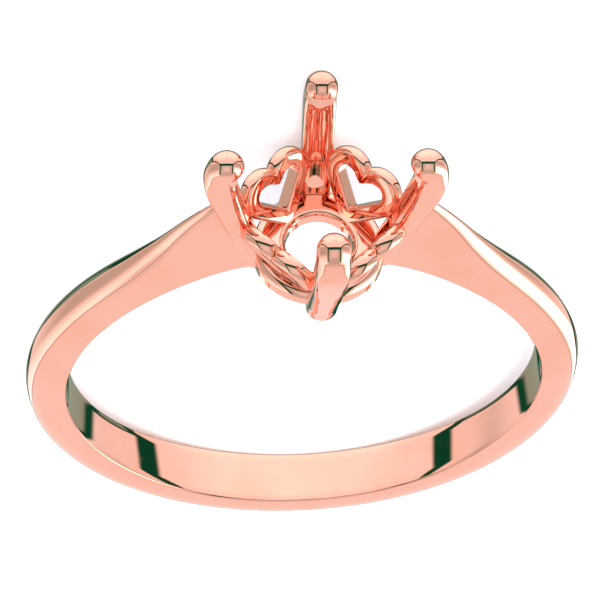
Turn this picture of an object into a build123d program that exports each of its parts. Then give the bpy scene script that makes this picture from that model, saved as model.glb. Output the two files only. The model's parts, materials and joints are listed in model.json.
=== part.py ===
from build123d import *
from math import asin, atan2, cos, hypot, radians, sin, sqrt, tan
import os

# Engagement ring mount with an open four-claw head and four pierced hearts, lying on its side.
# It is drawn with the finger hole along Z and the head towards +Y, and laid down at the end.

# Finger hole
finger_d = 17.0
finger_r = finger_d / 2
hole_edge = 0.08

# Band at the back: width along the finger, thickness outwards, straight part of its side
band_w = 2.12
band_t = 1.95
side_h = 0.50
root_depth = 0.40

# Band sections: degrees from the back, width, thickness and straight side as shares of
# band_w, band_t and side_h, then how full the rounded outside is (0.55 is an ellipse)
band_sections = [
    (0, 1.00, 1.02, 1.0, 0.94),
    (22, 0.98, 1.02, 1.0, 0.94),
    (45, 0.905, 0.98, 1.0, 0.93),
    (68, 0.83, 0.86, 1.0, 0.91),
    (90, 0.795, 0.745, 1.0, 0.88),
    (110, 0.80, 0.71, 1.0, 0.86),
    (128, 0.735, 0.715, 1.0, 0.83),
    (142, 0.645, 0.795, 1.0, 0.80),
    (151, 0.555, 0.99, 1.0, 0.77),
    (158, 0.475, 1.295, 1.1, 0.75),
    (164, 0.435, 1.59, 1.2, 0.72),
    (171, 0.415, 1.84, 1.3, 0.70),
]

# Base ring of the head, round about the Y axis
base_hole_r = 1.05
base_r = 2.07
base_h = 0.45
base_round_out = 0.32
base_round_in = 0.20

# Claws: outer radius and thickness at the finger hole and at their widest, and the domed tip
claw_count = 4
claw_w = 1.00
claw_foot_out = 2.56
claw_foot_t = 0.91
claw_top_out = 3.62
claw_top_t = 0.67
claw_crown = 0.48
crown_full = 0.60
claw_edge = 0.12
tip_in = 0.69
tip_h = 4.37
tip_r = 0.52

# Claw sections: height as a share of tip_h, then how far the inner and the outer face have
# gone from foot to top, and the rounded outside as a share of claw_crown
claw_sections = [
    (-0.10, -0.11, -0.09, 1.05),
    (0.20, 0.24, 0.24, 1.0),
    (0.50, 0.60, 0.57, 0.9),
    (0.75, 0.89, 0.88, 0.9),
    (0.88, 1.02, 0.97, 0.9),
    (1.00, 0.96, 0.84, 1.0),
]

# Seat cut for the stone: an upright wall with a slope below and above it
seat_in = 0.61
seat_h = 3.57
girdle_h = 0.43
seat_slope = 41.0

# Radii that follow from the claws' outer radius
claw_foot_in = claw_foot_out - claw_foot_t
claw_top_in = claw_top_out - claw_top_t
tip_mid_r = claw_top_out - tip_in
seat_r = claw_top_out - seat_in

# Hearts, in planes that lean outwards half way between two claws
heart_lean = 21.9
heart_mid_r = 1.89
heart_mid_h = 1.50
heart_t = 0.50
heart_wire = 0.54
heart_round = 0.15
heart_round_in = 0.08

# Opening of a heart, from its middle: lobes, the dip between them and the point
lobe_x = 0.59
lobe_y = 0.20
lobe_r = 0.28
dip_y = 0.24
point_y = -0.82

claw_angles = [number * 360 / claw_count for number in range(claw_count)]
heart_angles = [angle + 180 / claw_count for angle in claw_angles]

# Small length and small angle, for telling edges apart and for the search at the end
hair = 0.001


def radial_plane(angle):
    """Plane through the finger axis, its X axis pointing outwards at an angle from the back."""
    turn = radians(angle)
    return Plane(origin=(0, 0, 0), x_dir=(sin(turn), -cos(turn), 0), z_dir=(-cos(turn), -sin(turn), 0))


def crowned(inner, side, outer, width, fullness):
    """Outline with a flat inner face, straight sides and a rounded outside towards local X."""
    half = width / 2
    rise = (outer - side) * fullness
    reach = half * (1 - fullness)
    Line((inner, half), (inner, -half))
    Line((inner, -half), (side, -half))
    Bezier((side, -half), (side + rise, -half), (outer, -reach), (outer, 0))
    Bezier((outer, 0), (outer, reach), (side + rise, half), (side, half))
    Line((side, half), (inner, half))


def on_finger_hole(edge):
    """True for a long edge that lies on the wall of the finger hole."""
    spots = [edge @ share for share in (0.1, 0.5, 0.9)]
    return edge.length > band_w and all(abs(hypot(spot.X, spot.Y) - finger_r) < hair for spot in spots)


# Band and shoulders, one piece round the finger from one side of the head to the other
both_ways = [(-row[0],) + row[1:] for row in reversed(band_sections[1:])] + band_sections
with BuildPart() as band:
    for angle, width_share, thick_share, side_share, fullness in both_ways:
        with BuildSketch(radial_plane(angle)):
            with BuildLine():
                crowned(
                    finger_r - root_depth,
                    finger_r + side_h * side_share,
                    finger_r + band_t * thick_share,
                    band_w * width_share,
                    fullness,
                )
            make_face()
    loft()
    Cylinder(finger_r, 2 * band_w, mode=Mode.SUBTRACT)
    fillet(band.edges().filter_by(on_finger_hole), hole_edge)
    # The shoulders end inside the claws, so the head stays open
    with BuildSketch(Plane.XY):
        with BuildLine():
            low = finger_r - base_h
            high = finger_r + tip_h
            middle_low = (claw_foot_in + claw_foot_out) / 2
            middle_high = (claw_top_in + claw_top_out) / 2
            neck = (base_hole_r + base_r) / 2
            Polyline((0, low), (neck, low), (middle_low, finger_r), (middle_high, high), (0, high), close=True)
        make_face()
    revolve(axis=Axis.Y, mode=Mode.SUBTRACT)

# Base ring of the head
with BuildPart() as base_ring:
    with BuildSketch(Plane.XY) as base_section:
        with Locations(((base_hole_r + base_r) / 2, finger_r)):
            Rectangle(base_r - base_hole_r, 2 * base_h)
        upper_corners = base_section.vertices().group_by(Axis.Y)[-1].sort_by(Axis.X)
        fillet(upper_corners[-1], base_round_out)
        inner_corner = base_section.vertices().group_by(Axis.X)[0].sort_by(Axis.Y)[-1]
        fillet(inner_corner, base_round_in)
    revolve(axis=Axis.Y)

# One claw towards +X, with its domed tip
with BuildPart() as claw:
    for height_share, inner_share, outer_share, crown_share in claw_sections:
        inner = claw_foot_in + (claw_top_in - claw_foot_in) * inner_share
        outer = claw_foot_out + (claw_top_out - claw_foot_out) * outer_share
        level = Plane(origin=(0, finger_r + tip_h * height_share, 0), x_dir=(1, 0, 0), z_dir=(0, 1, 0))
        with BuildSketch(level):
            with BuildLine():
                crowned(inner, outer - claw_crown * crown_share, outer, claw_w, crown_full)
            make_face()
    loft()
    upright_edges = claw.edges().filter_by(lambda edge: abs(abs(edge.center().Z) - claw_w / 2) < hair)
    fillet(upright_edges.group_by(Axis.X)[0], claw_edge)
    # The dome is half an ellipse turned about the line across the claw
    dome_plane = Plane(origin=(tip_mid_r, finger_r + tip_h, 0), x_dir=(0, 0, 1), z_dir=(0, 1, 0))
    with BuildSketch(dome_plane):
        Ellipse(claw_w / 2, tip_r)
        split(bisect_by=Plane.XZ)
    revolve(axis=Axis(dome_plane.origin, dome_plane.x_dir))

# Room that the stone takes between the claws
with BuildPart() as seat:
    with BuildSketch(Plane.XY):
        with BuildLine():
            sloped = tan(radians(seat_slope)) * seat_r
            wall_foot = finger_r + seat_h
            wall_top = wall_foot + girdle_h
            Polyline(
                (0, wall_foot - sloped),
                (seat_r, wall_foot),
                (seat_r, wall_top),
                (0, wall_top + sloped),
                close=True,
            )
        make_face()
    revolve(axis=Axis.Y)

with BuildPart() as claws:
    for angle in claw_angles:
        add(claw.part.rotate(Axis.Y, angle))
    add(seat.part, mode=Mode.SUBTRACT)

# Half of the angle at the heart's point, for flanks that touch the lobes
flank_length = hypot(lobe_x, lobe_y - point_y)
flank_angle = asin(lobe_r / flank_length) + atan2(lobe_x, lobe_y - point_y)


def heart_side(grow, side):
    """One side of the heart's outline, moved outwards by grow, from the point to the dip."""
    radius = lobe_r + grow
    point = (0, point_y - grow / sin(flank_angle))
    touch = (side * (lobe_x + radius * cos(flank_angle)), lobe_y - radius * sin(flank_angle))
    crest = (side * lobe_x, lobe_y + radius)
    Line(point, touch)
    if radius > lobe_x:
        ThreePointArc(touch, crest, (0, lobe_y + sqrt(radius**2 - lobe_x**2)))
    else:
        RadiusArc(touch, crest, -side * radius)
        soft = (side * (lobe_x - radius), lobe_y + radius)
        Bezier(crest, soft, (side * radius, dip_y + radius / 2), (0, dip_y))


# One heart, facing outwards along X before it is turned to its place between two claws
lean = radians(heart_lean)
heart_plane = Plane(
    origin=(heart_mid_r, finger_r + heart_mid_h, 0), x_dir=(0, 0, 1), z_dir=(-cos(lean), sin(lean), 0)
)
heart_axis = Axis(heart_plane.origin, heart_plane.z_dir)
with BuildPart() as heart:
    with BuildSketch(heart_plane):
        with BuildLine():
            heart_side(heart_wire, 1)
            heart_side(heart_wire, -1)
        make_face()
    extrude(amount=heart_t / 2, both=True)
    flats = heart.faces().sort_by(heart_axis)
    fillet(flats[0].edges() + flats[-1].edges(), heart_round)
    with BuildSketch(heart_plane):
        with BuildLine():
            heart_side(0, 1)
            heart_side(0, -1)
        make_face()
    extrude(amount=heart_t, both=True, mode=Mode.SUBTRACT)
    flats = heart.faces().sort_by(heart_axis)
    fillet(flats[0].inner_wires().edges() + flats[-1].inner_wires().edges(), heart_round_in)

# The whole mount, soldered into one piece, with the finger hole cleared right through
with BuildPart() as upright:
    add(band.part)
    add(base_ring.part)
    add(claws.part)
    for angle in heart_angles:
        add(heart.part.rotate(Axis.Y, angle))
    Cylinder(finger_r, 4 * base_r, mode=Mode.SUBTRACT)


def lowest(piece, tilt):
    """Lowest point of a piece when the head is raised by a tilt in degrees."""
    return piece.rotate(Axis.X, tilt).bounding_box().min.Z


# Lying on its side the ring touches down with one claw and with the back of the band
tilt_low = 0.0
tilt_high = 45.0
while tilt_high - tilt_low > hair:
    tilt = (tilt_low + tilt_high) / 2
    if lowest(claws.part, tilt) < lowest(band.part, tilt):
        tilt_low = tilt
    else:
        tilt_high = tilt

laid = upright.part.rotate(Axis.X, tilt)
box = laid.bounding_box()
centre_y = -box.center().Y
centre_z = -box.min.Z
with BuildPart() as ring_mount:
    with Locations((0, centre_y, centre_z)):
        add(laid)

ring_mount.part.label = "ring_mount"
os.makedirs("parts", exist_ok=True)
export_step(ring_mount.part, "parts/ring_mount.step")
print(f"Head raised by {tilt:.3f} degrees, finger hole's centre at Y {centre_y:.4f} and Z {centre_z:.4f} mm")
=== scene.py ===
"""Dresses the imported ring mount: band, base ring, claws and pierced hearts in polished rose gold.

Each piece is modelled upright in millimetres, with the finger hole along Z and the head towards +Y,
and is then laid on the floor at the place and tilt that the record gives for the finger hole.
"""

import json
import logging
import math
from collections.abc import Sequence
from dataclasses import dataclass

import bmesh
import bpy
from mathutils import Matrix, Vector

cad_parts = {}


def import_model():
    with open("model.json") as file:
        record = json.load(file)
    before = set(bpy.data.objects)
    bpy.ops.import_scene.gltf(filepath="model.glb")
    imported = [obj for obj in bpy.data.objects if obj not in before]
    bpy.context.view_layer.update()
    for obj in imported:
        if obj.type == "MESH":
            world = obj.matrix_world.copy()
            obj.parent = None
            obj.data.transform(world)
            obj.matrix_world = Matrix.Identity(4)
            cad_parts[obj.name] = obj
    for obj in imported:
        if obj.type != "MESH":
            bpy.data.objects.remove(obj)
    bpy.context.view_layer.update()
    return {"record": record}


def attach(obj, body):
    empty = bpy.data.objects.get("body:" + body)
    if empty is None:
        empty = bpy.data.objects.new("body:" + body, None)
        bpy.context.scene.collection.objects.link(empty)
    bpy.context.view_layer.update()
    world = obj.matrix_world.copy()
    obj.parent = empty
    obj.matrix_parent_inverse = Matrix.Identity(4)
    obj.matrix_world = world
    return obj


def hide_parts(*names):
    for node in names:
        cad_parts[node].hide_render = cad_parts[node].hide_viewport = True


log = logging.getLogger("ring_mount")

Point = tuple[float, float]
Row = tuple[float, ...]
Colour = tuple[float, float, float, float]

# Metres in a millimetre, sides of the round cutting tools, and how near vertices merge, in millimetres
MILLIMETRE = 0.001
TOOL_SIDES = 512
MERGE = 0.0001


# Sections


def smooth_row(table: Sequence[Row], at: float) -> Row:
    """Reads a table of measured stations at any place between them, on smooth curves.

    Args:
        table: rows that start with their place, in rising order.
        at: the place to read.

    Returns:
        The row's other values at that place.
    """
    last = len(table) - 1
    low = max(0, min(last - 1, sum(row[0] <= at for row in table) - 1))
    start, end = table[low], table[low + 1]
    span = end[0] - start[0]
    share = (at - start[0]) / span
    values = []
    for column in range(1, len(start)):
        slopes = []
        for middle in (low, low + 1):
            before, after = table[max(0, middle - 1)], table[min(last, middle + 1)]
            slopes.append((after[column] - before[column]) / (after[0] - before[0]) * span)
        squared, cubed = share**2, share**3
        values.append(
            start[column] * (2 * cubed - 3 * squared + 1)
            + slopes[0] * (cubed - 2 * squared + share)
            + end[column] * (3 * squared - 2 * cubed)
            + slopes[1] * (cubed - squared)
        )
    return tuple(values)


def straight(start: Point, end: Point, steps: int) -> list[Point]:
    """Points along a straight line, without its last one.

    Args:
        start: first point.
        end: last point.
        steps: how many parts the line has.

    Returns:
        The points in order.
    """
    return [
        (start[0] + (end[0] - start[0]) * step / steps, start[1] + (end[1] - start[1]) * step / steps)
        for step in range(steps)
    ]


def curved(points: Sequence[Point], steps: int) -> list[Point]:
    """Points along a cubic curve with two handles, without its last one.

    Args:
        points: start, two handles and end.
        steps: how many parts the curve has.

    Returns:
        The points in order.
    """
    found = []
    for step in range(steps):
        share = step / steps
        rest = 1 - share
        weights = (rest**3, 3 * rest**2 * share, 3 * rest * share**2, share**3)
        found.append(tuple(sum(w * p[axis] for w, p in zip(weights, points)) for axis in (0, 1)))
    return found


def arc(middle: Point, radius: float, start: float, end: float, steps: int) -> list[Point]:
    """Points along a round arc, without its last one.

    Args:
        middle: centre of the arc.
        radius: its radius.
        start: angle of its first point in radians.
        end: angle of its last point in radians.
        steps: how many parts the arc has.

    Returns:
        The points in order.
    """
    angles = [start + (end - start) * step / steps for step in range(steps)]
    return [(middle[0] + radius * math.cos(a), middle[1] + radius * math.sin(a)) for a in angles]


def both_sides(half: Sequence[Point]) -> list[Point]:
    """Closes half an outline with its mirror image across the first axis.

    Args:
        half: points from one end on the first axis to the other, both included.

    Returns:
        The closed outline.
    """
    return list(half) + [(x, -y) for x, y in reversed(half[1:-1])]


# Modelling


class Bench:
    """Edit-mode work on one mesh, as a modeller does it by hand, in millimetres."""

    def __init__(self, name: str, outline: Sequence[Vector]) -> None:
        """Starts a mesh as a circle, moved onto its first outline.

        Args:
            name: name of the piece.
            outline: the places of the circle's vertices.
        """
        self.count = len(outline)
        Bench.put_down()
        bpy.ops.mesh.primitive_circle_add(vertices=self.count, radius=1.0, fill_type="NOTHING")
        self.piece = bpy.context.object
        self.piece.name = self.piece.data.name = name
        bpy.ops.object.mode_set(mode="EDIT")
        bpy.ops.mesh.select_mode(type="EDGE")
        bpy.ops.mesh.select_all(action="SELECT")
        mesh = bmesh.from_edit_mesh(self.piece.data)
        self.loop = list(range(self.count))
        mesh.verts.ensure_lookup_table()
        for index, place in zip(self.loop, outline):
            mesh.verts[index].co = place
        bmesh.update_edit_mesh(self.piece.data)

    @staticmethod
    def put_down() -> None:
        """Leaves edit mode and deselects everything."""
        if bpy.context.object and bpy.context.object.mode != "OBJECT":
            bpy.ops.object.mode_set(mode="OBJECT")
        bpy.ops.object.select_all(action="DESELECT")

    @staticmethod
    def pick_up(piece: bpy.types.Object) -> None:
        """Makes one piece the only selected and the active one.

        Args:
            piece: the piece that is worked on next.
        """
        Bench.put_down()
        piece.select_set(True)
        bpy.context.view_layer.objects.active = piece

    def grow(self, outline: Sequence[Vector]) -> None:
        """Extrudes the open end and moves it onto the next outline.

        Args:
            outline: the places of the new end's vertices, in the same order.
        """
        bpy.ops.mesh.extrude_edges_move()
        mesh = bmesh.from_edit_mesh(self.piece.data)
        mesh.verts.ensure_lookup_table()
        turn = {old: number for number, old in enumerate(self.loop)}
        fresh = [0] * self.count
        for index in range(len(mesh.verts) - self.count, len(mesh.verts)):
            vertex = mesh.verts[index]
            near = [edge.other_vert(vertex).index for edge in vertex.link_edges]
            old = next(number for number in near if number in turn)
            fresh[turn[old]] = index
            vertex.co = outline[turn[old]]
        self.loop = fresh
        bmesh.update_edit_mesh(self.piece.data)

    def cap(self) -> None:
        """Fills the open end with one face."""
        bpy.ops.mesh.edge_face_add()

    def cap_start(self) -> None:
        """Fills the end that the mesh started from."""
        bpy.ops.mesh.select_all(action="DESELECT")
        mesh = bmesh.from_edit_mesh(self.piece.data)
        for edge in mesh.edges:
            edge.select_set(all(vertex.index < self.count for vertex in edge.verts))
        bmesh.update_edit_mesh(self.piece.data)
        self.cap()

    def pole(self, place: Vector) -> None:
        """Draws the open end together in one point.

        Args:
            place: where the point is.
        """
        self.grow([place] * self.count)

    def done(self) -> bpy.types.Object:
        """Merges doubles, turns the faces outwards and leaves edit mode.

        Returns:
            The piece.
        """
        bpy.ops.mesh.select_all(action="SELECT")
        bpy.ops.mesh.remove_doubles(threshold=MERGE)
        bpy.ops.mesh.select_all(action="SELECT")
        bpy.ops.mesh.normals_make_consistent(inside=False)
        Bench.put_down()
        return self.piece


def carve(piece: bpy.types.Object, cutter: bpy.types.Object) -> None:
    """Takes a cutter's shape out of a piece and removes the cutter.

    Args:
        piece: the piece that is cut.
        cutter: the shape that is taken out.
    """
    Bench.pick_up(piece)
    carving = piece.modifiers.new("carve", "BOOLEAN")
    carving.operation = "DIFFERENCE"
    carving.solver = "EXACT"
    carving.object = cutter
    bpy.ops.object.modifier_apply(modifier=carving.name)
    bpy.data.objects.remove(cutter)


def copy_turned(piece: bpy.types.Object, name: str, angle: float) -> bpy.types.Object:
    """Copies a finished piece and turns the copy about the head's axis.

    Args:
        piece: the piece that is repeated.
        name: name of the copy.
        angle: how far it is turned, in degrees.

    Returns:
        The copy, with a mesh of its own.
    """
    Bench.pick_up(piece)
    bpy.ops.object.duplicate(linked=False)
    copy = bpy.context.object
    copy.name = copy.data.name = name
    copy.rotation_euler = (0.0, math.radians(angle), 0.0)
    bpy.ops.object.transform_apply(location=False, rotation=True, scale=False)
    Bench.put_down()
    return copy


def copies_round(piece: bpy.types.Object, name: str, angles: Sequence[int]) -> list[bpy.types.Object]:
    """Copies a finished piece round the head.

    Args:
        piece: the first piece.
        name: what the names of all the pieces start with.
        angles: the angle of each piece in degrees, the first piece's first.

    Returns:
        All the pieces, the first one too.
    """
    pieces = [piece]
    for number, angle in enumerate(angles[1:], 1):
        pieces.append(copy_turned(piece, f"{name}_{number}", angle - angles[0]))
    return pieces


# Shader nodes


class Signal:
    """A number in a shader, so that its maths can be written as expressions."""

    def __init__(self, board: "Board", socket: bpy.types.NodeSocket) -> None:
        """Keeps the node board and the socket that gives the number."""
        self.board = board
        self.socket = socket

    def _with(self, operation: str, *values: "Signal | float") -> "Signal":
        """Adds one Math node."""
        return self.board.add("ShaderNodeMath", {"operation": operation}, values)

    def __add__(self, other: "Signal | float") -> "Signal":
        """Sum."""
        return self._with("ADD", self, other)

    def __sub__(self, other: "Signal | float") -> "Signal":
        """Difference."""
        return self._with("SUBTRACT", self, other)

    def __mul__(self, other: "Signal | float") -> "Signal":
        """Product."""
        return self._with("MULTIPLY", self, other)

    def __abs__(self) -> "Signal":
        """Size without sign."""
        return self._with("ABSOLUTE", self)

    def root(self) -> "Signal":
        """Square root."""
        return self._with("SQRT", self)

    def highest(self, other: "Signal | float") -> "Signal":
        """The larger of two numbers."""
        return self._with("MAXIMUM", self, other)

    def step(self, start: float, end: float) -> "Signal":
        """Soft step.

        Args:
            start: where it is 0.
            end: where it is 1; it may be below start.

        Returns:
            A number from 0 to 1.
        """
        settings = {"interpolation_type": "SMOOTHSTEP"}
        return self.board.add("ShaderNodeMapRange", settings, (self, start, end, 0.0, 1.0))


class Board:
    """The nodes of one material or of the surroundings."""

    def __init__(self, tree: bpy.types.NodeTree) -> None:
        """Starts with an empty node tree."""
        self.tree = tree
        tree.nodes.clear()

    def plug(self, target: bpy.types.NodeSocket, value: object) -> None:
        """Sets or links one input socket.

        Args:
            target: the input socket.
            value: a number, a colour or a signal.
        """
        if isinstance(value, Signal):
            self.tree.links.new(value.socket, target)
        else:
            target.default_value = value

    def add(self, kind: str, settings: dict[str, object], values: object = (), out: int | str = 0) -> Signal:
        """Adds one node.

        Args:
            kind: the node's type.
            settings: its properties, which are set first.
            values: its inputs in order, or by socket name.
            out: the output that is passed on.

        Returns:
            The output as a signal.
        """
        node = self.tree.nodes.new(kind)
        for name, setting in settings.items():
            setattr(node, name, setting)
        pairs = values.items() if isinstance(values, dict) else enumerate(values)
        for key, value in pairs:
            self.plug(node.inputs[key], value)
        return Signal(self, node.outputs[out])

    def finish(self, kind: str, surface: Signal) -> None:
        """Adds the output node.

        Args:
            kind: the output node's type.
            surface: what it shows.
        """
        self.plug(self.tree.nodes.new(kind).inputs["Surface"], surface)

    def noise(self, place: Signal, scale: float, detail: float) -> Signal:
        """Adds a noise pattern.

        Args:
            place: where it is read.
            scale: how fine it is.
            detail: how many finer layers it has.

        Returns:
            A number round 0.5.
        """
        return self.add("ShaderNodeTexNoise", {}, {"Vector": place, "Scale": scale, "Detail": detail})

    def dot(self, look: Signal, way: Sequence[float]) -> Signal:
        """How far a direction points along another.

        Args:
            look: a direction in the shader.
            way: a fixed direction.

        Returns:
            Their dot product.
        """
        return self.add("ShaderNodeVectorMath", {"operation": "DOT_PRODUCT"}, (look, tuple(way)), "Value")

    def blend(self, share: Signal, low: object, high: object) -> Signal:
        """Mixes two colours.

        Args:
            share: 0 for the first colour, 1 for the second.
            low: first colour.
            high: second colour.

        Returns:
            The mixed colour.
        """
        node = self.tree.nodes.new("ShaderNodeMix")
        node.data_type = "RGBA"
        self.plug(node.inputs["Factor"], share)
        self.plug(node.inputs["A"], low)
        self.plug(node.inputs["B"], high)
        return Signal(self, node.outputs["Result"])


# Finishes


@dataclass(frozen=True)
class PolishedGold:
    """Rose gold, buffed to a mirror, with the faint haze and lines that a polishing wheel leaves."""

    name: str = "polished_rose_gold"
    colour: Colour = (0.98, 0.49, 0.376, 1.0)
    deep: Colour = (0.97, 0.455, 0.335, 1.0)
    clean: float = 0.025
    hazy: float = 0.075
    line_depth: float = 0.03
    line_distance: float = 0.000002
    # How fine the patterns are, and between which of their values the tone and the haze change
    melt_scale: float = 420.0
    haze_scale: float = 1500.0
    line_scale: tuple[float, float, float] = (900.0, 900.0, 16000.0)
    deep_edge: Point = (0.35, 0.7)
    haze_edge: Point = (0.45, 0.75)

    def make(self) -> bpy.types.Material:
        """Builds the material.

        Returns:
            A material whose pattern follows the piece's own place.
        """
        material = bpy.data.materials.new(self.name)
        material.use_nodes = True
        board = Board(material.node_tree)
        place = board.add("ShaderNodeTexCoord", {}, (), "Object")
        melt = board.noise(place, self.melt_scale, 3.0)
        haze = board.noise(place, self.haze_scale, 4.0)
        stretched = board.add("ShaderNodeMapping", {}, {"Vector": place, "Scale": self.line_scale})
        lines = board.noise(stretched, 1.0, 2.0)
        colour = board.blend(melt.step(*self.deep_edge), self.colour, self.deep)
        rough = haze.step(*self.haze_edge) * (self.hazy - self.clean) + self.clean
        relief = {"Strength": self.line_depth, "Distance": self.line_distance, "Height": lines}
        bump = board.add("ShaderNodeBump", {}, relief)
        look = {"Base Color": colour, "Metallic": 1.0, "Roughness": rough, "Normal": bump}
        board.finish("ShaderNodeOutputMaterial", board.add("ShaderNodeBsdfPrincipled", {}, look))
        return material


@dataclass(frozen=True)
class PaleTable:
    """Plain, nearly white table top."""

    name: str = "pale_table"
    colour: Colour = (0.93, 0.93, 0.935, 1.0)
    pale: Colour = (0.95, 0.95, 0.95, 1.0)
    grain_scale: float = 300.0
    rough: float = 0.9

    def make(self) -> bpy.types.Material:
        """Builds the material.

        Returns:
            A matt material.
        """
        material = bpy.data.materials.new(self.name)
        material.use_nodes = True
        board = Board(material.node_tree)
        place = board.add("ShaderNodeTexCoord", {}, (), "Object")
        grain = board.noise(place, self.grain_scale, 2.0)
        tint = board.blend(grain, self.colour, self.pale)
        top = board.add("ShaderNodeBsdfPrincipled", {}, {"Base Color": tint, "Roughness": self.rough})
        board.finish("ShaderNodeOutputMaterial", top)
        return material


# The ring's place


@dataclass(frozen=True)
class Lie:
    """How the ring lies: its head raised by a tilt, and the finger hole's centre, in metres."""

    tilt: float
    centre: Vector

    @classmethod
    def from_record(cls, record: dict) -> "Lie":
        """Reads the finger hole's place.

        Args:
            record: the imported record.

        Returns:
            The ring's lie.
        """
        hole = record["mounts"][0]
        axis = Vector(hole["axis"])
        return cls(math.atan2(-axis.y, axis.z), Vector(hole["pos_m"]))

    def turned(self, direction: Vector) -> Vector:
        """Turns a direction from the upright drawing to the ring as it lies.

        Args:
            direction: the direction in the upright drawing.

        Returns:
            The same direction on the laid ring.
        """
        return Matrix.Rotation(self.tilt, 3, "X") @ direction

    def lay(self, piece: bpy.types.Object) -> None:
        """Lays one piece down and applies its place to its mesh.

        Args:
            piece: a piece that was modelled upright in millimetres.
        """
        Bench.pick_up(piece)
        piece.scale = (MILLIMETRE, MILLIMETRE, MILLIMETRE)
        piece.rotation_euler = (self.tilt, 0.0, 0.0)
        piece.location = self.centre
        bpy.ops.object.transform_apply(location=True, rotation=True, scale=True)
        Bench.put_down()


@dataclass
class Piece:
    """What all sub-assemblies share: the finger hole, and how a finished piece is dressed."""

    finger_r: float = 8.5
    cutter_length: float = 20.0
    node: str = "ring_mount"
    slot: str = "rose_gold"
    # Largest angle in degrees between faces that are shaded as one surface
    soft_angle: float = 40.0

    def finger_cutter(self) -> bpy.types.Object:
        """Makes a round bar that clears the finger hole.

        Returns:
            The cutter.
        """
        Bench.put_down()
        size = {"radius": self.finger_r, "depth": self.cutter_length}
        bpy.ops.mesh.primitive_cylinder_add(vertices=TOOL_SIDES, **size)
        bpy.context.object.name = "finger_cutter"
        return bpy.context.object

    def dress(self, piece: bpy.types.Object, gold: bpy.types.Material, lie: Lie) -> None:
        """Shades a piece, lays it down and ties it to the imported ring.

        Args:
            piece: the finished shape, upright in millimetres.
            gold: its finish.
            lie: the ring's place.
        """
        lie.lay(piece)
        Bench.pick_up(piece)
        bpy.ops.object.shade_smooth_by_angle(angle=math.radians(self.soft_angle))
        Bench.put_down()
        piece.data.materials.clear()
        piece.data.materials.append(gold)
        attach(piece, "root")
        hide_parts(self.node)
        piece.data.calc_loop_triangles()
        log.info("%s: %d triangles", piece.name, len(piece.data.loop_triangles))


# Sub-assemblies


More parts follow.
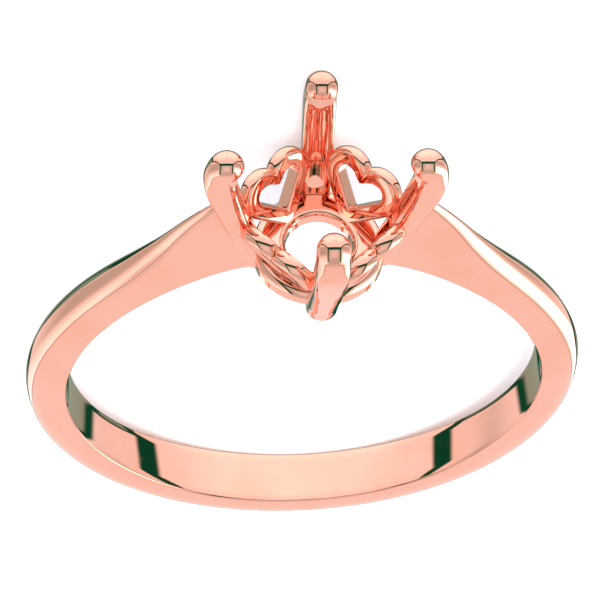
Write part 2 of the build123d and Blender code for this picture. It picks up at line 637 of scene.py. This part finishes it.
@dataclass
class FingerBand(Piece):
    """Band round the finger, with shoulders that rise beside the head, in one piece."""

    soft_angle: float = 50.0
    width: float = 2.12
    thickness: float = 1.95
    side: float = 0.50
    hole_edge: float = 0.08
    # Degrees from one section to the next
    spacing: float = 1.5
    # Parts of half a section: its inside, the inside's edge, its side and its rounded outside
    parts: tuple[int, int, int, int] = (4, 4, 3, 24)
    # Degrees from the back, then width, thickness and straight side as shares, and fullness
    stations: tuple[Row, ...] = (
        (0, 1.00, 1.02, 1.0, 0.94),
        (22, 0.98, 1.02, 1.0, 0.94),
        (45, 0.905, 0.98, 1.0, 0.93),
        (68, 0.83, 0.86, 1.0, 0.91),
        (90, 0.795, 0.745, 1.0, 0.88),
        (110, 0.80, 0.71, 1.0, 0.86),
        (128, 0.735, 0.715, 1.0, 0.83),
        (142, 0.645, 0.795, 1.0, 0.80),
        (151, 0.555, 0.99, 1.0, 0.77),
        (158, 0.475, 1.295, 1.1, 0.75),
        (164, 0.435, 1.59, 1.2, 0.72),
        (171, 0.415, 1.84, 1.3, 0.70),
    )
    # Middle of the side claws at the finger hole and at their tips: radius and height
    claw_middle: tuple[Point, Point] = ((2.1, 0.0), (3.28, 4.37))
    # Half of the height and of the width of the block that the shoulders are trimmed with
    trim_block: Point = (4.0, 3.0)

    def outline(self, angle: float) -> list[Vector]:
        """Section of the band at an angle from its back.

        Args:
            angle: degrees from the back, either way.

        Returns:
            The section's points in the upright drawing.
        """
        table = [(-row[0], *row[1:]) for row in reversed(self.stations[1:])] + list(self.stations)
        width_share, thick_share, side_share, full = smooth_row(table, angle)
        half = self.width * width_share / 2
        side = self.finger_r + self.side * side_share
        outer = self.finger_r + self.thickness * thick_share
        edge = self.hole_edge
        on_inside, on_edge, on_side, on_outside = self.parts
        outline = straight((self.finger_r, 0.0), (self.finger_r, half - edge), on_inside)
        outline += arc((self.finger_r + edge, half - edge), edge, math.pi, math.pi / 2, on_edge)
        outline += straight((self.finger_r + edge, half), (side, half), on_side)
        rise = (outer - side) * full
        handles = ((side, half), (side + rise, half), (outer, half * (1 - full)), (outer, 0.0))
        outline += curved(handles, on_outside) + [(outer, 0.0)]
        turn = math.radians(angle)
        return [Vector((r * math.sin(turn), -r * math.cos(turn), z)) for r, z in both_sides(outline)]

    def build(self) -> bpy.types.Object:
        """Grows the band from one shoulder to the other and ends it inside the side claws.

        Returns:
            The band, upright.
        """
        reach = self.stations[-1][0]
        steps = round(2 * reach / self.spacing)
        angles = [-reach + 2 * reach * number / steps for number in range(steps + 1)]
        bench = Bench("finger_band", self.outline(angles[0]))
        for angle in angles[1:]:
            bench.grow(self.outline(angle))
        bench.cap()
        bench.cap_start()
        return self.trimmed(bench.done())

    def trimmed(self, band: bpy.types.Object) -> bpy.types.Object:
        """Cuts the shoulders off inside the side claws, so that the head stays open.

        Args:
            band: the band with both shoulders run through.

        Returns:
            The band, now open at the head.
        """
        (low_r, low_h), (high_r, high_h) = self.claw_middle
        mid_r, mid_h = (low_r + high_r) / 2, (low_h + high_h) / 2
        slope = (high_r - low_r) / (high_h - low_h)
        half_height, half_width = self.trim_block
        Bench.put_down()
        bpy.ops.mesh.primitive_cube_add(size=1.0, location=(0.0, self.finger_r + mid_h, 0.0))
        cutter = bpy.context.object
        cutter.name = "shoulder_cutter"
        bpy.ops.object.mode_set(mode="EDIT")
        mesh = bmesh.from_edit_mesh(cutter.data)
        for vertex in mesh.verts:
            height = math.copysign(half_height, vertex.co.y)
            width = math.copysign(mid_r + slope * height, vertex.co.x)
            vertex.co = (width, height, math.copysign(half_width, vertex.co.z))
        bmesh.update_edit_mesh(cutter.data)
        Bench.put_down()
        carve(band, cutter)
        return band


@dataclass
class BaseRing(Piece):
    """Low round ring that the claws and hearts stand on."""

    hole_r: float = 1.05
    outer_r: float = 2.07
    height: float = 0.45
    round_out: float = 0.32
    round_in: float = 0.20
    turns: int = 128
    # Parts of the section: bottom, outside, outer rounding, top, inner rounding and inside
    parts: tuple[int, ...] = (6, 8, 14, 6, 10, 8)

    def build(self) -> bpy.types.Object:
        """Spins the ring's section about the head's axis and clears the finger hole under it.

        Returns:
            The base ring, upright.
        """
        low, high = self.finger_r - self.height, self.finger_r + self.height
        quarter = math.pi / 2
        bottom, outside, outer_round, top, inner_round, inside = self.parts
        outline = straight((self.hole_r, low), (self.outer_r, low), bottom)
        outline += straight((self.outer_r, low), (self.outer_r, high - self.round_out), outside)
        outer_mid = (self.outer_r - self.round_out, high - self.round_out)
        outline += arc(outer_mid, self.round_out, 0.0, quarter, outer_round)
        outline += straight((outer_mid[0], high), (self.hole_r + self.round_in, high), top)
        inner_mid = (self.hole_r + self.round_in, high - self.round_in)
        outline += arc(inner_mid, self.round_in, quarter, 2 * quarter, inner_round)
        outline += straight((self.hole_r, inner_mid[1]), (self.hole_r, low), inside)
        bench = Bench("base_ring", [Vector((x, y, 0.0)) for x, y in outline])
        bpy.ops.mesh.spin(steps=self.turns, angle=4 * quarter, center=(0, 0, 0), axis=(0, 1, 0), dupli=False)
        ring = bench.done()
        carve(ring, self.finger_cutter())
        return ring


@dataclass
class Claws(Piece):
    """Four claws with flat sides, a tapering flat on their outside and domed tips."""

    soft_angle: float = 32.0
    half_width: float = 0.50
    foot: float = -0.44
    tip_h: float = 4.37
    tip_rise: float = 0.52
    # Height, inner and outer radius, half of the flat outside, depth of the rounding beside it,
    # depth of the crowned inside, and how round the whole section is
    stations: tuple[Row, ...] = (
        (-0.44, 1.50, 2.39, 0.02, 0.50, 0.17, 0.0),
        (0.00, 1.65, 2.52, 0.02, 0.50, 0.17, 0.0),
        (0.31, 1.77, 2.60, 0.03, 0.48, 0.17, 0.0),
        (1.49, 2.13, 2.95, 0.14, 0.36, 0.20, 0.0),
        (2.30, 2.335, 3.21, 0.20, 0.30, 0.23, 0.0),
        (3.10, 2.515, 3.44, 0.26, 0.26, 0.27, 0.0),
        (3.50, 2.585, 3.55, 0.24, 0.29, 0.28, 0.03),
        (3.85, 2.62, 3.61, 0.18, 0.34, 0.30, 0.35),
        (4.10, 2.56, 3.59, 0.12, 0.38, 0.34, 0.72),
        (4.37, 2.41, 3.52, 0.05, 0.45, 0.45, 1.0),
    )
    # The tip's outside, above this height, is a quarter of an ellipse; its inside is a dome
    bulge_h: float = 3.85
    bulge_r: float = 3.61
    tip_r: float = 2.93
    dome_r: float = 0.52
    seat_r: float = 2.93
    seat_h: float = 4.14
    girdle: float = 0.08
    seat_slope: float = 45.0
    crown_slope: float = 24.0
    # Share of the seat's radius that the cutting tool has left at both of its ends
    tool_end: float = 0.2
    # How far the handles stand from the ends of the rounding beside the flat and of the crown
    corner_hold: float = 0.45
    crown_hold: Point = (0.25, 0.55)
    # Parts of half a section: its flat, the rounding beside it, its side and its crowned inside
    parts: tuple[int, int, int, int] = (4, 12, 6, 14)
    # Parts of the height from the foot to the tip's middle, and from there to the top
    levels: int = 76
    dome_levels: int = 20
    angles: tuple[int, ...] = (0, 90, 180, 270)

    def section(self, height: float) -> list[Point]:
        """Outline of a claw at a height above the finger hole.

        Args:
            height: height along the head's axis.

        Returns:
            Points of the outline: radius and place across.
        """
        inner, outer, flat, depth, edge, roundness = smooth_row(self.stations, min(height, self.tip_h))
        if height > self.bulge_h:
            outer = self.bulged(height)
        half, hold = self.half_width, self.corner_hold
        side = outer - depth
        handles = (outer, half - (half - flat) * hold), (outer - depth * hold, half)
        corner = ((outer, flat), *handles, (side, half))
        low_hold, high_hold = self.crown_hold
        handles = (inner + edge * low_hold, half), (inner, half * high_hold)
        crown = ((inner + edge, half), *handles, (inner, 0.0))
        on_flat, on_corner, on_side, on_crown = self.parts
        outline = straight((outer, 0.0), (outer, flat), on_flat) + curved(corner, on_corner)
        outline += straight((side, half), (inner + edge, half), on_side)
        outline += curved(crown, on_crown) + [(inner, 0.0)]
        middle, extent = (inner + outer) / 2, (outer - inner) / 2
        if height > self.tip_h:
            narrowing = math.sqrt(max(0.0, 1 - ((height - self.tip_h) / self.tip_rise) ** 2))
            inner, half = self.tip_r - self.dome_r * narrowing, half * narrowing
        centre = (inner + outer) / 2 + (self.tip_r - (inner + outer) / 2) * roundness
        rounded = []
        for x, y in outline:
            around = math.atan2(y / self.half_width, (x - middle) / extent)
            reach = outer - centre if math.cos(around) > 0 else centre - inner
            ball = (centre + reach * math.cos(around), half * math.sin(around))
            rounded.append((x + (ball[0] - x) * roundness, y + (ball[1] - y) * roundness))
        return both_sides(rounded)

    def bulged(self, height: float) -> float:
        """Outer radius of a claw above its widest height.

        Args:
            height: height along the head's axis.

        Returns:
            The radius there.
        """
        rise = (height - self.bulge_h) / (self.tip_h + self.tip_rise - self.bulge_h)
        return self.tip_r + (self.bulge_r - self.tip_r) * math.sqrt(max(0.0, 1 - rise**2))

    def placed(self, section: Sequence[Point], height: float) -> list[Vector]:
        """Puts a section at its height in the upright drawing.

        Args:
            section: the outline's points, radius and place across.
            height: height above the finger hole.

        Returns:
            The outline's points, for a claw on the X axis.
        """
        return [Vector((x, self.finger_r + height, z)) for x, z in section]

    def build(self) -> list[bpy.types.Object]:
        """Grows one claw, cuts the seat and the finger hole, and copies it round the head.

        Returns:
            The four claws, upright.
        """
        rise = self.tip_h - self.foot
        heights = [self.foot + rise * number / self.levels for number in range(self.levels + 1)]
        bench = Bench("claw_0", self.placed(self.section(heights[0]), heights[0]))
        for height in heights[1:]:
            bench.grow(self.placed(self.section(height), height))
        for number in range(1, self.dome_levels):
            height = self.tip_h + self.tip_rise * math.sin(math.pi / 2 * number / self.dome_levels)
            bench.grow(self.placed(self.section(height), height))
        bench.pole(Vector((self.tip_r, self.finger_r + self.tip_h + self.tip_rise, 0.0)))
        bench.cap_start()
        claw = bench.done()
        for cutter in (self.seat_cutter(), self.finger_cutter()):
            carve(claw, cutter)
        return copies_round(claw, "claw", self.angles)

    def seat_cutter(self) -> bpy.types.Object:
        """Makes the shape that cuts the stone's seat: a wall with a slope each side.

        Returns:
            The cutter.
        """
        middle = self.finger_r + self.seat_h + self.girdle / 2
        narrow = self.tool_end
        Bench.put_down()
        size = {"radius": self.seat_r, "depth": self.girdle}
        lie = {"location": (0.0, middle, 0.0), "rotation": (math.pi / 2, 0.0, 0.0)}
        bpy.ops.mesh.primitive_cylinder_add(vertices=TOOL_SIDES, **size, **lie)
        cutter = bpy.context.object
        cutter.name = "seat_cutter"
        bpy.ops.object.transform_apply(location=True, rotation=True, scale=True)
        for side, slope in ((-1, self.seat_slope), (1, self.crown_slope)):
            rise = self.seat_r * (1 - narrow) * math.tan(math.radians(slope))
            bpy.ops.object.mode_set(mode="EDIT")
            bpy.ops.mesh.select_mode(type="FACE")
            bpy.ops.mesh.select_all(action="DESELECT")
            mesh = bmesh.from_edit_mesh(cutter.data)
            for face in mesh.faces:
                face.select_set(len(face.verts) > 4 and (face.calc_center_median().y - middle) * side > 0)
            bmesh.update_edit_mesh(cutter.data)
            bpy.ops.mesh.extrude_region_move(TRANSFORM_OT_translate={"value": (0.0, side * rise, 0.0)})
            end = (0.0, middle + side * (self.girdle / 2 + rise), 0.0)
            bpy.ops.transform.resize(value=(narrow, 1.0, narrow), center_override=end)
            Bench.pick_up(cutter)
        return cutter


@dataclass
class Hearts(Piece):
    """Four pierced hearts of rounded wire that lean outwards between the claws."""

    soft_angle: float = 38.0
    lean: float = 21.9
    mid_r: float = 1.89
    mid_h: float = 1.50
    thickness: float = 0.50
    wire: float = 0.54
    round_out: float = 0.15
    round_in: float = 0.08
    lobe_x: float = 0.59
    lobe_y: float = 0.20
    lobe_r: float = 0.28
    dip_y: float = 0.24
    point_y: float = -0.82
    # Parts of a flank, an outer lobe, an inner lobe and the curve from there to the dip
    parts: tuple[int, int, int, int] = (20, 34, 20, 14)
    # Parts of half the crowned outer wall, and of an edge of the opening
    wall_parts: int = 14
    edge_parts: int = 6
    angles: tuple[int, ...] = (45, 135, 225, 315)

    def outline(self, grow: float) -> list[Point]:
        """Heart outline at a distance outside its opening.

        Args:
            grow: the distance.

        Returns:
            Points of the outline, across and up.
        """
        across, up = self.lobe_x, self.lobe_y - self.point_y
        flank = math.asin(self.lobe_r / math.hypot(across, up)) + math.atan2(across, up)
        radius = self.lobe_r + grow
        point = (0.0, self.point_y - grow / math.sin(flank))
        touch = (self.lobe_x + radius * math.cos(flank), self.lobe_y - radius * math.sin(flank))
        middle = (self.lobe_x, self.lobe_y)
        on_flank, on_outer, on_inner, on_dip = self.parts
        half = straight(point, touch, on_flank)
        if radius > self.lobe_x:
            dip = math.acos(-self.lobe_x / radius)
            half += arc(middle, radius, -flank, dip, on_outer)
            half.append((0.0, self.lobe_y + radius * math.sin(dip)))
        else:
            half += arc(middle, radius, -flank, math.pi / 2, on_inner)
            crest = (self.lobe_x, self.lobe_y + radius)
            soft = (self.lobe_x - radius, self.lobe_y + radius)
            half += curved((crest, soft, (radius, self.dip_y + radius / 2), (0.0, self.dip_y)), on_dip)
            half.append((0.0, self.dip_y))
        return half + [(-x, y) for x, y in reversed(half[1:-1])]

    def placed(self, grow: float, depth: float) -> list[Vector]:
        """Puts a heart outline in the leaning plane.

        Args:
            grow: the outline's distance outside the opening.
            depth: distance from the middle of the heart's thickness, inwards.

        Returns:
            The outline's points in the upright drawing, for a heart that faces outwards along X.
        """
        lean = math.radians(self.lean)
        inwards = Vector((-math.cos(lean), math.sin(lean), 0.0))
        upwards = Vector((math.sin(lean), math.cos(lean), 0.0))
        sideways = Vector((0.0, 0.0, 1.0))
        middle = Vector((self.mid_r, self.finger_r + self.mid_h, 0.0))
        return [middle + sideways * x + upwards * y + inwards * depth for x, y in self.outline(grow)]

    def build(self) -> list[bpy.types.Object]:
        """Grows one heart round its wire, clears the finger hole, and copies it round the head.

        Returns:
            The four hearts, upright.
        """
        half, wire = self.thickness / 2, self.wire
        quarter = math.pi / 2
        big, small = self.round_out, self.round_in
        # Half the way round the wire, whose outer wall is crowned: half an ellipse from face to face
        swing = [quarter * step / self.wall_parts for step in range(self.wall_parts)]
        path = [(wire - big + big * math.cos(a), half * math.sin(a)) for a in swing]
        path += [(wire - big, half), (small, half)]
        path += arc((small, half - small), small, quarter, 2 * quarter, self.edge_parts)
        path.append((0.0, half - small))
        path += [(x, -y) for x, y in reversed(path[1:])]
        bench = Bench("heart_upright", self.placed(*path[0]))
        for before, after in zip(path, path[1:] + path[:1]):
            if before != after:
                bench.grow(self.placed(*after))
        upright = bench.done()
        heart = copy_turned(upright, "heart_0", self.angles[0])
        bpy.data.objects.remove(upright)
        carve(heart, self.finger_cutter())
        return copies_round(heart, "heart", self.angles)


# Studio


@dataclass(frozen=True)
class Spot:
    """A place on the mirror ball, and how far it is from the middle line and from the middle."""

    board: Board
    across: Signal
    above: Signal
    side: Signal
    rim: Signal


@dataclass(frozen=True)
class LightTent:
    """Soft surroundings that only the polished metal reflects, and the light on the matt floor.

    The tent is laid out as a mirror ball in the photograph shows it, from -1 to 1 across and up.
    Each pair of numbers is an edge: where a soft step is 0, and where it is 1.
    """

    dark: Colour = (0.004, 0.09, 0.045, 1.0)
    room: Colour = (1.0, 1.0, 1.0, 1.0)
    # Walls at both sides, brown in their middle and lighter towards their foot
    wall: Colour = (1.0, 1.02, 1.02, 1.0)
    wall_side: Point = (0.26, 0.48)
    wall_low: Point = (-0.52, -0.49)
    brown: Colour = (0.58, 0.65, 0.61, 1.0)
    brown_tilt: float = 0.2
    brown_across: Point = (-0.5, 0.5)
    brown_low: Point = (-0.30, -0.10)
    brown_high: Point = (0.26, 0.14)
    brown_side: Point = (0.95, 0.75)
    foot: Colour = (1.5, 1.62, 1.66, 1.0)
    foot_high: Point = (-0.18, -0.46)
    # Window in the right wall, and skirting boards
    window: Colour = (3.2, 3.2, 3.2, 1.0)
    window_across: Point = (0.40, 0.52)
    window_low: Point = (-0.47, -0.39)
    window_high: Point = (-0.06, -0.17)
    skirt: Colour = (0.68, 0.68, 0.66, 1.0)
    skirt_middle: float = -0.515
    skirt_half: Point = (0.03, 0.01)
    skirt_side: Point = (0.22, 0.34)
    # Doorway behind the camera, dimmer near its frame
    door: Colour = (0.9, 0.97, 0.98, 1.0)
    door_side: Point = (0.36, 0.32)
    door_low: Point = (-0.42, -0.38)
    door_high: Point = (0.16, 0.12)
    dim: Colour = (0.48, 0.62, 0.60, 1.0)
    dim_side: Point = (0.10, 0.34)
    dim_high: Point = (-0.10, 0.06)
    dim_low: Point = (-0.25, -0.42)
    # Its dark frame: posts, a faint sill and a lintel
    post_middle: float = 0.345
    post_half: Point = (0.045, 0.022)
    post_low: Point = (-0.46, -0.42)
    frame_side: Point = (0.42, 0.37)
    sill_share: float = 0.2
    sill_middle: float = -0.44
    sill_half: Point = (0.05, 0.02)
    lintel_low: Point = (0.0, 0.05)
    # Darker floor before the doorway
    step: Colour = (0.45, 0.55, 0.51, 1.0)
    step_share: float = 0.6
    step_low: Point = (-0.64, -0.46)
    step_high: Point = (-0.40, -0.44)
    step_side: Point = (0.40, 0.24)
    # Overhead light, whose lower edge is lifted and then slopes up at both sides
    light: Colour = (1.06, 1.12, 1.14, 1.0)
    light_low: float = 0.12
    light_edge: Point = (-0.02, 0.02)
    light_middle: float = 0.03
    light_half: float = 0.745
    lift: float = 0.19
    lift_side: Point = (0.34, 0.62)
    slope: float = 0.3
    slope_side: float = 0.6
    pale: Colour = (1.5, 1.62, 1.62, 1.0)
    pale_low: Point = (0.32, 0.58)
    pale_side: Point = (0.75, 0.35)
    dull: Colour = (0.35, 0.42, 0.36, 1.0)
    dull_rim: Point = (0.84, 0.95)
    # Dusky corners beside it, bounded below by a line that runs out to the rim
    corner: Colour = (0.22, 0.44, 0.36, 1.0)
    corner_deep: Colour = (0.03, 0.15, 0.09, 1.0)
    corner_deepening: Point = (0.45, 0.60)
    corner_bend: float = 1.47
    corner_rim: float = 0.965
    corner_shift: float = 0.035
    corner_across: Point = (0.0, 0.5)
    corner_edge: Point = (0.0, 0.02)
    corner_low: Point = (0.0, 0.08)
    corner_side: Point = (-0.03, 0.0)
    # Half widths and ends of the dark lines under the light, at its sides and under the corners
    under_line: Point = (0.045, 0.025)
    under_end: Point = (0.02, 0.0)
    side_line: Point = (0.03, 0.015)
    side_end: Point = (-0.02, 0.0)
    corner_line: Point = (0.025, 0.01)
    corner_end: Point = (0.0, 0.04)
    # A thin dark line near the rim, further out below, and a grey haze outside it
    rim_line: Point = (0.93, 0.945)
    rim_shift: float = 0.045
    rim_low: Point = (-0.15, -0.50)
    haze: Colour = (0.30, 0.45, 0.37, 1.0)
    haze_rim: Point = (0.955, 0.97)
    haze_low: Point = (-0.5, -0.3)
    # Even light on the matt floor, and one soft lamp high on the head's side
    even: Colour = (1.20, 1.34, 1.48, 1.0)
    lamp: Colour = (6.2, 6.2, 6.1, 1.0)
    lamp_way: tuple[float, float, float] = (0.08, 0.62, 0.78)
    lamp_edge: Point = (0.86, 0.95)

    def put_up(self, right: Vector, up: Vector, back: Vector) -> None:
        """Fills the world with the tent.

        Args:
            right: direction to the photograph's right.
            up: its upward direction.
            back: direction towards the camera.
        """
        world = bpy.data.worlds.new("light_tent")
        bpy.context.scene.world = world
        world.use_nodes = True
        board = Board(world.node_tree)
        look = board.add("ShaderNodeTexCoord", {}, (), "Generated")
        between = board.add("ShaderNodeVectorMath", {"operation": "ADD"}, (look, tuple(back)))
        ball = board.add("ShaderNodeVectorMath", {"operation": "NORMALIZE"}, (between,))
        across, above = board.dot(ball, right), board.dot(ball, up)
        spot = Spot(board, across, above, abs(across), (across * across + above * above).root())
        tone = self.walls(spot)
        for add in (self.add_door, self.add_light, self.add_rim):
            tone = add(spot, tone)
        floor = board.blend(board.dot(look, self.lamp_way).step(*self.lamp_edge), self.even, self.lamp)
        shiny = board.add("ShaderNodeLightPath", {}, (), "Is Glossy Ray")
        light = board.blend(shiny, floor, tone)
        glow = board.add("ShaderNodeBackground", {}, {"Color": light, "Strength": 1.0})
        board.finish("ShaderNodeOutputWorld", glow)

    def walls(self, spot: Spot) -> Signal:
        """Room with a wall at each side.

        Args:
            spot: the place on the mirror ball.

        Returns:
            The tone there.
        """
        board, across, above, side = spot.board, spot.across, spot.above, spot.side
        wall = side.step(*self.wall_side) * above.step(*self.wall_low)
        tilted = above - across.step(*self.brown_across) * self.brown_tilt
        brown = tilted.step(*self.brown_low) * above.step(*self.brown_high) * side.step(*self.brown_side)
        window = above.step(*self.window_low) * above.step(*self.window_high)
        skirt = abs(above - self.skirt_middle).step(*self.skirt_half) * side.step(*self.skirt_side)
        shade = board.blend(brown, self.wall, self.brown)
        shade = board.blend(above.step(*self.foot_high), shade, self.foot)
        shade = board.blend(across.step(*self.window_across) * window, shade, self.window)
        return board.blend(skirt, board.blend(wall, self.room, shade), self.skirt)

    def add_door(self, spot: Spot, tone: Signal) -> Signal:
        """Doorway with its frame, and the floor before it.

        Args:
            spot: the place on the mirror ball.
            tone: the tone so far.

        Returns:
            The tone with the doorway.
        """
        board, above, side = spot.board, spot.above, spot.side
        under = above.step(*self.door_high)
        door = side.step(*self.door_side) * above.step(*self.door_low) * under
        dim = above.step(*self.dim_high).highest(above.step(*self.dim_low))
        post = abs(side - self.post_middle).step(*self.post_half) * above.step(*self.post_low) * under
        within = side.step(*self.frame_side)
        sill = abs(above - self.sill_middle).step(*self.sill_half) * within
        step = above.step(*self.step_low) * above.step(*self.step_high) * side.step(*self.step_side)
        doorway = board.blend(side.step(*self.dim_side).highest(dim), self.door, self.dim)
        tone = board.blend(door, tone, doorway)
        tone = board.blend(post, tone, self.dark)
        tone = board.blend(sill * self.sill_share, tone, self.dark)
        tone = board.blend(step * self.step_share, tone, self.step)
        return board.blend(above.step(*self.lintel_low) * within, tone, self.dark)

    def add_light(self, spot: Spot, tone: Signal) -> Signal:
        """Overhead light, the corners beside it and the dark lines round them.

        Args:
            spot: the place on the mirror ball.
            tone: the tone so far.

        Returns:
            The tone with the light.
        """
        board, across, above, side, rim = spot.board, spot.across, spot.above, spot.side, spot.rim
        lifted = above - self.light_low - side.step(*self.lift_side) * self.lift
        over = lifted - (side - self.slope_side).highest(0.0) * self.slope
        beside = abs(across - self.light_middle) - self.light_half
        light = board.blend(above.step(*self.pale_low) * side.step(*self.pale_side), self.light, self.pale)
        light = board.blend(rim.step(*self.dull_rim), light, self.dull)
        tone = board.blend(over.step(*self.light_edge), tone, light)
        bent = rim + above * above * self.corner_bend - self.corner_rim
        corner = bent - across.step(*self.corner_across) * self.corner_shift
        outside = beside.step(*self.corner_side)
        deep = board.blend(above.step(*self.corner_deepening), self.corner, self.corner_deep)
        dusky = corner.step(*self.corner_edge) * above.step(*self.corner_low) * outside
        tone = board.blend(dusky, tone, deep)
        under = abs(over).step(*self.under_line) * beside.step(*self.under_end)
        tone = board.blend(under, tone, self.dark)
        tone = board.blend(abs(beside).step(*self.side_line) * over.step(*self.side_end), tone, self.dark)
        line = abs(corner).step(*self.corner_line) * above.step(*self.corner_end) * outside
        return board.blend(line, tone, self.dark)

    def add_rim(self, spot: Spot, tone: Signal) -> Signal:
        """Dark line near the rim, and the haze outside it.

        Args:
            spot: the place on the mirror ball.
            tone: the tone so far.

        Returns:
            The finished tone.
        """
        board, above, rim = spot.board, spot.above, spot.rim
        edge = rim - above.step(*self.rim_low) * self.rim_shift
        tone = board.blend(edge.step(*self.rim_line), tone, self.dark)
        return board.blend(rim.step(*self.haze_rim) * above.step(*self.haze_low), tone, self.haze)


@dataclass(frozen=True)
class Studio:
    """Camera, floor and light tent of the photograph."""

    azimuth: float = 7.882
    elevation: float = 58.333
    roll: float = 5.756
    distance: float = 50.0
    focus: float = 1507.745
    target: tuple[float, float, float] = (-0.418, 0.0, 5.471)
    # Sensor width in millimetres, picture width in pixels, nearest sight and floor size in metres
    sensor: float = 36.0
    picture: int = 600
    nearest: float = 0.001
    floor_size: float = 1.2
    tent: LightTent = LightTent()

    def axes(self, lie: Lie) -> tuple[Vector, Vector, Vector]:
        """Right, up and backward direction of the camera.

        Args:
            lie: the ring's place.

        Returns:
            The three directions in the ring's own frame as it lies.
        """
        azimuth, elevation, roll = (math.radians(v) for v in (self.azimuth, self.elevation, self.roll))
        flat = math.cos(elevation)
        back = Vector((-math.sin(azimuth) * flat, -math.cos(azimuth) * flat, math.sin(elevation)))
        level = Vector((math.cos(azimuth), -math.sin(azimuth), 0.0))
        above = back.cross(level)
        right = level * math.cos(roll) + above * math.sin(roll)
        up = above * math.cos(roll) - level * math.sin(roll)
        return tuple(lie.turned(Vector((v.x, v.z, -v.y))) for v in (right, up, back))

    def set_camera(self, lie: Lie) -> None:
        """Sets the camera at the photograph's angle.

        Args:
            lie: the ring's place.
        """
        right, up, back = self.axes(lie)
        x, y, z = self.target
        target = lie.centre + lie.turned(Vector((x, z, -y))) * MILLIMETRE
        lens = bpy.data.cameras.new("camera")
        lens.sensor_width = self.sensor
        lens.lens = self.focus / self.picture * self.sensor
        lens.clip_start = self.nearest
        camera = bpy.data.objects.new("camera", lens)
        bpy.context.scene.collection.objects.link(camera)
        turn = Matrix((right, up, back)).transposed().to_4x4()
        camera.matrix_world = Matrix.Translation(target + back * self.distance * MILLIMETRE) @ turn
        bpy.context.scene.camera = camera

    def set_floor(self) -> None:
        """Lays a plain pale table top under the ring."""
        Bench.put_down()
        bpy.ops.mesh.primitive_plane_add(size=self.floor_size)
        floor = bpy.context.object
        floor.name = floor.data.name = "floor"
        floor.data.materials.append(PaleTable().make())
        floor.visible_glossy = False

    def set_up(self, lie: Lie) -> None:
        """Sets camera, floor, light and the way that brightness is shown.

        Args:
            lie: the ring's place.
        """
        self.set_camera(lie)
        self.set_floor()
        self.tent.put_up(*self.axes(lie))
        bpy.context.scene.view_settings.view_transform = "Standard"


def main() -> None:
    """Builds the ring piece by piece, then the studio."""
    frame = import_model()
    lie = Lie.from_record(frame["record"])
    gold = PolishedGold().make()
    band, base, claws, hearts = FingerBand(), BaseRing(), Claws(), Hearts()
    band.dress(band.build(), gold, lie)
    base.dress(base.build(), gold, lie)
    for claw in claws.build():
        claws.dress(claw, gold, lie)
    for heart in hearts.build():
        hearts.dress(heart, gold, lie)
    Studio().set_up(lie)


if __name__ == "__main__":
    logging.basicConfig(level=logging.INFO, format="%(name)s: %(message)s")
    main()
